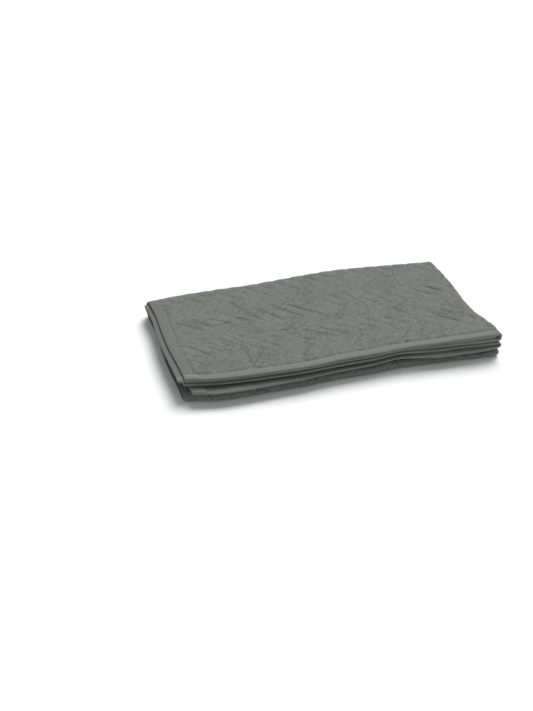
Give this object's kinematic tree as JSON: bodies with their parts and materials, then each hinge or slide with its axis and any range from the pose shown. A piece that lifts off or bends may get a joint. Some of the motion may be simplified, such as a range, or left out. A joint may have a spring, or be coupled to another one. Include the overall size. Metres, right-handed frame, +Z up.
{
  "type": "moving blanket",
  "caption": "Quilted moving blanket, folded in half across and twice in half along, lying flat with its self-coloured bound edges at the front and the left.",
  "frame": {"origin": "centre of the bounding box's base, on the surface that the folded blanket lies on", "axes": "+X along the long side, from the bound edges on the left to the fold on the right; +Y from the bound front edges to the fold at the back; +Z up"},
  "size_m": [0.6802, 0.362, 0.056],
  "materials": {
    "quilted_cloth": "matt grey-green cotton and polyester cloth, stitched in zigzag lines",
    "binding_tape": "matt grey-green woven tape folded over the edge and sewn down"
  },
  "bodies": {
    "root": {"quilted_pad": "quilted_cloth", "end_binding_top": "binding_tape", "end_binding_inner": "binding_tape", "side_binding_outer": "binding_tape", "side_binding_inner": "binding_tape"}
  },
  "joints": []
}
